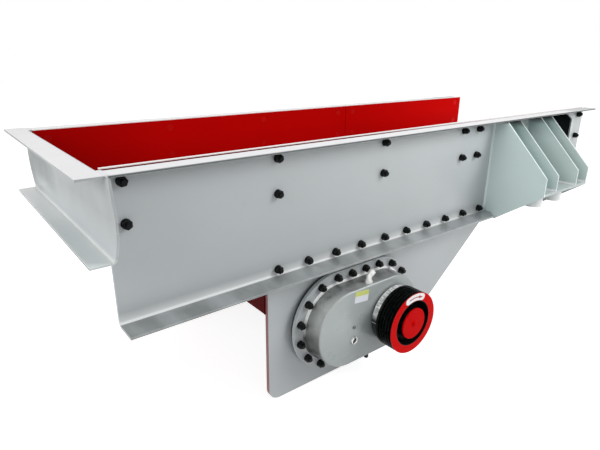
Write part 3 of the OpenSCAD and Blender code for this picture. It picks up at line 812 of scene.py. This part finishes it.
def rings(mesh, outlines, close_ends=True):
    """Skins a stack of outlines with the same number of points each."""
    stack = [[mesh.verts.new(point) for point in outline] for outline in outlines]
    count = len(stack[0])
    for low, high in zip(stack, stack[1:]):
        for k in range(count):
            mesh.faces.new((low[k], low[(k + 1) % count], high[(k + 1) % count], high[k]))
    if close_ends:
        mesh.faces.new(stack[0])
        mesh.faces.new(stack[-1])


def polar(radius, angle):
    """Vector in the plane of X and Z."""
    return Vector((radius * math.cos(angle), 0, radius * math.sin(angle)))


def turned(mesh, at, outward, profile, segments=24):
    """Solid of revolution about an axis along outward, from (radius, height) pairs."""
    circle = [2 * math.pi * k / segments for k in range(segments)]
    rings(mesh, [[at + outward * h + polar(r, a) for a in circle] for r, h in profile])


def hexagon(mesh, at, outward, across, height, turn):
    """Hexagon nut or head whose corners are turned off on its outer side."""
    def outline(h, cut=across):
        points = []
        for k in range(36):
            a = math.radians(10 * k)
            corner = across / 2 / math.cos((a + math.pi / 6) % (math.pi / 3) - math.pi / 6)
            points.append(at + outward * h + polar(min(corner, cut), a + turn))
        return points
    drop = 0.06 * across
    rings(mesh, [outline(0), outline(height - drop), outline(height - 0.5 * drop, 0.535 * across),
                 outline(height, 0.475 * across)])


def thread(d, start, end, pitch):
    """Profile of a threaded end with a chamfered tip."""
    profile = [(0.5 * d, start)]
    h = start
    while h + pitch < end - 0.1 * d:
        profile += [(0.5 * d, h + 0.15 * pitch), (0.44 * d, h + 0.5 * pitch),
                    (0.5 * d, h + 0.85 * pitch)]
        h += pitch
    return profile + [(0.5 * d, end - 0.1 * d), (0.41 * d, end)]


# Sizes of a bolt over its diameter
WASHER = 1.75
WASHER_T = 1 / 6
HEXAGON = 1.5
NUT_H = 0.85
HEAD_H = 0.63
END_H = 0.5
FLUSH_HEAD_R = 0.872

PITCH = 3 * MM
FLUSH_HEAD_T = 7 * MM


def detailed_bolts(name, outward, head, finish):
    """Washers, chamfered nuts, threaded ends and heads in the places of the CAD bolts.

    The nut is outside; head says whether the inner end is a hexagon or a flush round head.
    """
    mesh = bmesh.new()
    for k, (low, high) in enumerate(solids(name)):
        d = (high.x - low.x) / WASHER
        tip, root = (low.y, high.y) if outward.y < 0 else (high.y, low.y)
        at = Vector(((low.x + high.x) / 2, tip, (low.z + high.z) / 2))
        washer, nut, end = WASHER_T * d, NUT_H * d, END_H * d
        at -= outward * (washer + nut + end)
        rim = 0.5 * WASHER * d
        turned(mesh, at, outward, [(rim, 0), (rim, 0.8 * washer), (rim - 0.06 * d, washer),
                                   (0.5 * d, washer)], 32)
        hexagon(mesh, at + outward * washer, outward, HEXAGON * d, nut, math.radians(37 * k % 60))
        turned(mesh, at, outward, thread(d, washer + nut - 0.1 * d, washer + nut + end, PITCH))
        inner = Vector((at.x, root, at.z))
        grip = abs(at.y - root)
        if head == "hexagon":
            seat = inner + outward * HEAD_H * d
            turned(mesh, at, -outward, [(0.5 * d, 0), (0.5 * d, grip - 0.6 * d)], 16)
            hexagon(mesh, seat, -outward, HEXAGON * d, HEAD_H * d, math.radians(23 * k % 60))
        else:
            turned(mesh, at, -outward, [(0.5 * d, 0), (0.5 * d, grip - FLUSH_HEAD_T)], 16)
            turned(mesh, inner + outward * FLUSH_HEAD_T, -outward,
                   [(FLUSH_HEAD_R * d, 0), (FLUSH_HEAD_R * d, FLUSH_HEAD_T + 0.8 * MM)], 48)
    piece = new_piece(name + "_detailed", mesh, finish, "trough", 28.0)
    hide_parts(name)


for side, outward in SIDES:
    detailed_bolts("liner_bolts_" + side, outward, "flush", "liner_fastener")
    detailed_bolts("carrier_bolts_" + side, outward, "hexagon", "fastener")
    detailed_bolts("cover_bolts_" + side, outward, "hexagon", "fastener")

# --- welds ---

LEG = 8 * MM  # leg of the fillet welds
THIN_LEG = 7 * MM


def bead(mesh, path, leg_a, leg_b, size, closed=False):
    """Fillet weld along path in the corner between two faces, with the ripples of its passes.

    leg_a and leg_b point from the corner along the two faces, or give one such pair per point.
    """
    step = 5 * MM
    points = []
    runs = list(zip(path, path[1:])) + ([(path[-1], path[0])] if closed else [])
    for k, (start, end) in enumerate(runs):
        legs = (leg_a, leg_b) if isinstance(leg_a, Vector) else (leg_a[k], leg_b[k])
        count = max(1, round((end - start).length / step))
        points += [(start.lerp(end, n / count), legs) for n in range(count)]
    if not closed:
        points.append((path[-1], points[-1][1]))
    outlines = []
    for k, (at, (a, b)) in enumerate(points):
        ripple = 1.0 + (0.07 if k % 2 else -0.05) + 0.06 * math.sin(0.9 * k)
        reach = size * ripple
        outlines.append([at, at + a * reach, at + (a * 0.72 + b * 0.30) * reach,
                         at + (a * 0.30 + b * 0.72) * reach, at + b * reach])
    if closed:
        outlines.append(outlines[0])
    rings(mesh, outlines, not closed)


def round_bead(mesh, centre, radius, along, size):
    """Weld round a tube: along is the tube's direction away from the plate."""
    across = along.orthogonal().normalized()
    other = along.cross(across)
    out = [across * math.cos(a) + other * math.sin(a)
           for a in (2 * math.pi * k / 48 for k in range(48))]
    path = [centre + o * radius for o in out]
    bead(mesh, path, out, [along] * len(out), size, closed=True)


def stadium_path(radius, y):
    """Points at one radius round both exciter shafts, in the plane of y, and their directions."""
    points = []
    out = []
    for centre, first in ((driven, 90), (drive, 270)):
        for k in range(33):
            a = math.radians(first + 180 * k / 32)
            direction = polar(1, a)
            points.append(Vector((centre.x, y, centre.z)) + direction * radius)
            out.append(direction)
    return points, out


def weld_brackets():
    """Ribs, base plate and spring cups of the discharge end, on both sides."""
    for side, outward in SIDES:
        mesh = bmesh.new()
        wall = y_out * outward.y
        base_low, base_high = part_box("bracket_base_" + side)
        ribs = solids("bracket_ribs_" + side)
        for k, (low, high) in enumerate(ribs):
            foot = z_low + 6 * MM if k in (0, 3) else base_high.z
            for x, away in ((low.x, -ALONG), (high.x, ALONG)):
                bead(mesh, [Vector((x, wall, foot)), Vector((x, wall, z_top - 24 * MM))],
                     away, outward, LEG)
                bead(mesh, [Vector((x, wall + outward.y * 14 * MM, z_top - plate_t)),
                            Vector((x, wall + outward.y * 84 * MM, z_top - plate_t))],
                     away, -UP, THIN_LEG)
                if base_low.x - 2 * MM < x < base_high.x + 2 * MM:
                    bead(mesh, [Vector((x, wall + outward.y * 6 * MM, base_high.z)),
                                Vector((x, wall + outward.y * 390 * MM, base_high.z))],
                         away, UP, THIN_LEG)
        for z, up in ((base_high.z, UP), (base_low.z, -UP)):
            bead(mesh, [Vector((base_low.x, wall, z)), Vector((base_high.x, wall, z))],
                 outward, up, LEG)
        for k in (1, 2):
            low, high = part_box("spring_cup_%s_%d" % (side, k))
            round_bead(mesh, Vector(((low.x + high.x) / 2, (low.y + high.y) / 2, high.z)),
                       (high.x - low.x) / 2, -UP, 6 * MM)
        new_piece("bracket_welds_" + side, mesh, "bracket", "trough", 60.0)


def weld_feed_end():
    """Upright corners between the feed end plate and the side plates."""
    mesh = bmesh.new()
    for _, outward in SIDES:
        wall = y_out * outward.y
        bead(mesh, [Vector((x_feed, wall, 6 * MM)), Vector((x_feed, wall, z_top - 22 * MM))],
             ALONG, outward, LEG)
    new_piece("feed_end_welds", mesh, "grey", "trough", 60.0)


def seam_weld():
    """Weld that fills the groove between the lip and the side plates' top flanges."""
    section = [(-16, -1), (-14, 0.8), (-4, 1.6), (5, 1.2), (9, -0.5), (0, -15)]  # X and Z, mm
    count, pitch = 34, 2.85 * MM  # ripples
    for side, outward in SIDES:
        mesh = bmesh.new()
        outlines = []
        for k in range(count):
            y = outward.y * (y_in + 7 * MM + k * pitch)
            swell = 1.0 + (0.25 if k % 2 else 0.0)
            outlines.append([Vector((x_feed + x * MM, y, z_top + z * MM * (swell if z > 0 else 1)))
                             for x, z in section])
        rings(mesh, outlines)
        new_piece("seam_weld_" + side, mesh, "seam", "trough", 50.0)


def weld_underside():
    """Square tubes, pan and cross plates where they meet the side and exciter plates."""
    mesh = bmesh.new()
    tubes = ["pan_beam_1", "pan_beam_2", "pan_beam_3", "grizzly_beam_1", "grizzly_beam_2"]
    corner = 16 * MM  # round corners of the tubes, where no bead lies
    for name in tubes:
        low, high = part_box(name)
        for _, outward in SIDES:
            wall = Vector((0, y_in * outward.y, 0))
            for x, away in ((low.x, -ALONG), (high.x, ALONG)):
                bead(mesh, [wall + Vector((x, 0, low.z + corner)),
                            wall + Vector((x, 0, high.z - corner))], away, -outward, THIN_LEG)
            bead(mesh, [wall + Vector((low.x + corner, 0, low.z)),
                        wall + Vector((high.x - corner, 0, low.z))], -UP, -outward, THIN_LEG)
    pan_low, pan_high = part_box("pan_plate")
    for _, outward in SIDES:
        wall = y_in * outward.y
        for low, high in gaps([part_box(n) for n in tubes[:4]], pan_low.x, pan_high.x):
            bead(mesh, [Vector((low, wall, pan_low.z)), Vector((high, wall, pan_low.z))],
                 -UP, -outward, THIN_LEG)
    for name in ("cross_plate_feed", "cross_plate_discharge"):
        low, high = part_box(name)
        for _, outward in SIDES:
            wall = -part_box("carrier_near")[1].y * outward.y
            for x, away in ((low.x, -ALONG), (high.x, ALONG)):
                bead(mesh, [Vector((x, wall, low.z + 4 * MM)), Vector((x, wall, high.z - 4 * MM))],
                     away, -outward, LEG)
    new_piece("underside_welds", mesh, "dark_red", "trough", 60.0)


def gaps(boxes, start, end):
    """Stretches of X between start and end that no box covers."""
    stretches = []
    for low, high in sorted(boxes, key=lambda b: b[0].x):
        if low.x > start + 10 * MM:
            stretches.append((start, min(low.x, end)))
        start = max(start, high.x)
    if start < end - 10 * MM:
        stretches.append((start, end))
    return stretches


def weld_exciter():
    """Where the exciter's tube body passes through its side plates."""
    mesh = bmesh.new()
    inner = -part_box("carrier_near")[1].y
    for _, outward in SIDES:
        path, out = stadium_path(TUBE_R, inner * outward.y)
        bead(mesh, path, out, [-outward] * len(out), 9 * MM, closed=True)
    new_piece("exciter_welds", mesh, "dark_red", "trough", 60.0)


weld_brackets()
weld_feed_end()
seam_weld()
weld_underside()
weld_exciter()

# --- cover root, plate, arrow and small fittings ---


def cover_fillet(name, node, outward):
    """The cast fillet between a cover's flange and its body."""
    low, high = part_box(node)
    root = high.y if outward.y < 0 else low.y
    mesh = bmesh.new()
    path, out = stadium_path(COVER_R, root + outward.y * COVER_FLANGE)
    size = 11 * MM
    outlines = []
    for at, o in zip(path, out):
        arc = [(1 - math.sin(t), 1 - math.cos(t)) for t in (math.pi / 2 * n / 5 for n in range(6))]
        outlines.append([at - o * MM - outward * MM]
                        + [at + o * size * a + outward * size * b for a, b in arc])
    outlines.append(outlines[0])
    rings(mesh, outlines, close_ends=False)
    new_piece(name, mesh, "cover_bead", "trough", 50.0)


cover_fillet("gear_cover_fillet", "gear_cover", OUT_NEAR)
cover_fillet("end_cover_fillet", "end_cover", OUT_FAR)


def rounded_plate(mesh, width, height, corner, thick):
    """Flat plate in X and Z with rounded corners, its front at -Y."""
    outline = []
    for cx, cz, first in ((1, 1, 0), (-1, 1, 90), (-1, -1, 180), (1, -1, 270)):
        for k in range(5):
            a = math.radians(first + 90 * k / 4)
            outline.append(((width / 2 - corner) * cx + corner * math.cos(a),
                            (height / 2 - corner) * cz + corner * math.sin(a)))
    rings(mesh, [[Vector((x, y, z)) for x, z in outline] for y in (0, -thick)])


def blank_plate():
    """Blank two-colour plate on the gear cover, with four rivets."""
    mesh = bmesh.new()
    thick = 1.2 * MM
    rounded_plate(mesh, width=98 * MM, height=65 * MM, corner=3 * MM, thick=thick)
    for x in (-44, 44):
        for z in (-28, 28):
            turned(mesh, Vector((x * MM, -thick, z * MM)), OUT_NEAR,
                   [(2.2 * MM, 0), (2.2 * MM, 0.6 * MM), (1.2 * MM, 1.4 * MM)], 12)
    piece = new_piece("blank_plate", mesh, "plate", "trough", 30.0)
    piece.location = (driven.x + 69 * MM, -cover_front, driven.z + 173 * MM)
    piece.rotation_euler = (0, math.radians(6), 0)


def about_drive(radius, angle, y):
    """Point round the drive shaft."""
    return Vector((drive.x + radius * math.cos(angle), y, drive.z + radius * math.sin(angle)))


def ring_band(mesh, r_in, r_out, first, last, front, back):
    """Flat band round the drive shaft between two angles in degrees, with rounded ends."""
    steps = 28
    mid, half = (r_in + r_out) / 2, (r_out - r_in) / 2
    sweep = [math.radians(first + (last - first) * k / steps) for k in range(steps + 1)]
    caps = [math.pi / 2 - math.pi * k / 6 for k in range(1, 6)]
    outline = [(r_out, a) for a in sweep]
    outline += [(mid + half * math.sin(a), sweep[-1] - half * math.cos(a) / mid) for a in caps]
    outline += [(r_in, a) for a in reversed(sweep)]
    outline += [(mid - half * math.sin(a), sweep[0] + half * math.cos(a) / mid) for a in caps]
    rings(mesh, [[about_drive(r, a, y) for r, a in outline] for y in (back, front)])


def rotation_arrow():
    """White band with a red arrow in it, on the pulley's red rim."""
    film, ink = rim_y - 0.8 * MM, rim_y - 1.3 * MM
    mesh = bmesh.new()
    ring_band(mesh, r_in=0.1345, r_out=0.1745, first=110, last=67, front=film, back=rim_y)
    new_piece("arrow_band", mesh, "white", "drive_rotor", 30.0)
    mesh = bmesh.new()
    ring_band(mesh, r_in=0.1515, r_out=0.1575, first=106, last=78, front=ink, back=film)
    tip = [(0.1455, 78), (0.1635, 78), (0.1545, 66)]  # radius in metres and angle in degrees
    rings(mesh, [[about_drive(r, math.radians(a), y) for r, a in tip] for y in (film, ink)])
    new_piece("arrow_red", mesh, "arrow_red", "drive_rotor", 30.0)


def hub_screw():
    """Screw and washer in the middle of the hub cap."""
    mesh = bmesh.new()
    at = Vector((drive.x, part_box("hub_cap")[0].y, drive.z))
    hexagon(mesh, at, OUT_NEAR, 19 * MM, 7.5 * MM, 0.3)
    turned(mesh, at, OUT_NEAR, [(14 * MM, -0.5 * MM), (14 * MM, 1.2 * MM),
                                (13 * MM, 1.8 * MM)], 32)
    new_piece("hub_screw", mesh, "signal", "drive_rotor", 30.0)


def sight_lens():
    """Domed glass of the sight glass, and the dark bar across its bezel."""
    low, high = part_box("sight_glass")
    centre = (low + high) / 2
    seat = Vector((centre.x, low.y + 5 * MM, centre.z))
    mesh = bmesh.new()
    turned(mesh, seat, OUT_NEAR, [(14 * MM, -0.5 * MM), (14 * MM, 1.6 * MM), (9 * MM, 2.4 * MM),
                                  (4 * MM, 2.8 * MM)], 32)
    new_piece("sight_lens", mesh, "lens", "trough", 60.0)
    mesh = bmesh.new()
    rounded_plate(mesh, width=36 * MM, height=8 * MM, corner=2 * MM, thick=2 * MM)
    slot = new_piece("sight_slot", mesh, "fastener", "trough", 30.0)
    slot.location = Vector((centre.x, low.y + 1 * MM, centre.z))
    slot.rotation_euler = (0, math.radians(-52), 0)


blank_plate()
rotation_arrow()
hub_screw()
sight_lens()

# --- floor and light ---

FLOOR = 0.62  # grey of the floor
FLOOR_GLOW = 0.76  # added where it is seen, so that it reads white
AMBIENT = 0.42  # strength of the world's light
SEEN = ("Is Camera Ray", "Is Glossy Ray", "Is Transmission Ray")


def mixed_by_rays(tree, base, seen):
    """Shader output that is seen for the rays in SEEN and base for all others."""
    path = tree.nodes.new("ShaderNodeLightPath")
    share = path.outputs[SEEN[0]]
    for kind in SEEN[1:]:
        top = tree.nodes.new("ShaderNodeMath")
        top.operation = "MAXIMUM"
        tree.links.new(share, top.inputs[0])
        tree.links.new(path.outputs[kind], top.inputs[1])
        share = top.outputs[0]
    pick = tree.nodes.new("ShaderNodeMixShader")
    tree.links.new(share, pick.inputs["Fac"])
    tree.links.new(base, pick.inputs[1])
    tree.links.new(seen, pick.inputs[2])
    return pick.outputs[0]


def make_floor():
    """A pale floor that reads white to the camera and keeps the object's shadow."""
    bpy.ops.mesh.primitive_plane_add(size=60, location=(0, 0, cad_box[0].z - 4 * MM))
    floor = bpy.context.object
    floor.name = "floor"
    material = bpy.data.materials.new("floor")
    material.use_nodes = True
    tree = material.node_tree
    surface = tree.nodes["Principled BSDF"]
    surface.inputs["Base Color"].default_value = (FLOOR, FLOOR, FLOOR, 1)
    surface.inputs["Roughness"].default_value = 0.9
    glow = tree.nodes.new("ShaderNodeEmission")
    glow.inputs["Strength"].default_value = FLOOR_GLOW
    none = tree.nodes.new("ShaderNodeEmission")
    none.inputs["Strength"].default_value = 0.0
    both = tree.nodes.new("ShaderNodeAddShader")
    tree.links.new(mixed_by_rays(tree, none.outputs[0], glow.outputs[0]), both.inputs[0])
    tree.links.new(surface.outputs[0], both.inputs[1])
    tree.links.new(both.outputs[0], tree.nodes["Material Output"].inputs["Surface"])
    floor.data.materials.append(material)


def make_world():
    """White to the camera and in reflections, plain light otherwise."""
    world = bpy.data.worlds.new("world")
    bpy.context.scene.world = world
    world.use_nodes = True
    tree = world.node_tree
    ambient = tree.nodes["Background"]
    ambient.inputs["Color"].default_value = (0.96, 0.99, 1.0, 1)
    ambient.inputs["Strength"].default_value = AMBIENT
    white = tree.nodes.new("ShaderNodeBackground")
    white.inputs["Color"].default_value = (1, 1, 1, 1)
    white.inputs["Strength"].default_value = 1.0
    shown = mixed_by_rays(tree, ambient.outputs[0], white.outputs[0])
    tree.links.new(shown, tree.nodes["World Output"].inputs["Surface"])


def area_light(name, at, target, size, power):
    """Square soft box at one point, turned to another; size in metres, power in watts."""
    data = bpy.data.lights.new(name, "AREA")
    data.shape = "SQUARE"
    data.size = size
    data.energy = power
    lamp = bpy.data.objects.new(name, data)
    bpy.context.scene.collection.objects.link(lamp)
    lamp.location = at
    lamp.rotation_euler = (Vector(target) - Vector(at)).to_track_quat("-Z", "Y").to_euler()


make_floor()
make_world()
area_light("key", at=(6.0, -6.0, 4.2), target=(2.0, 0, 0), size=4.0, power=400)
area_light("fill", at=(-6.0, -1.5, 3.0), target=(0.5, 0, 0), size=4.0, power=250)
area_light("top", at=(2.0, 0.5, 6.0), target=(2.0, 0, 0), size=5.0, power=160)
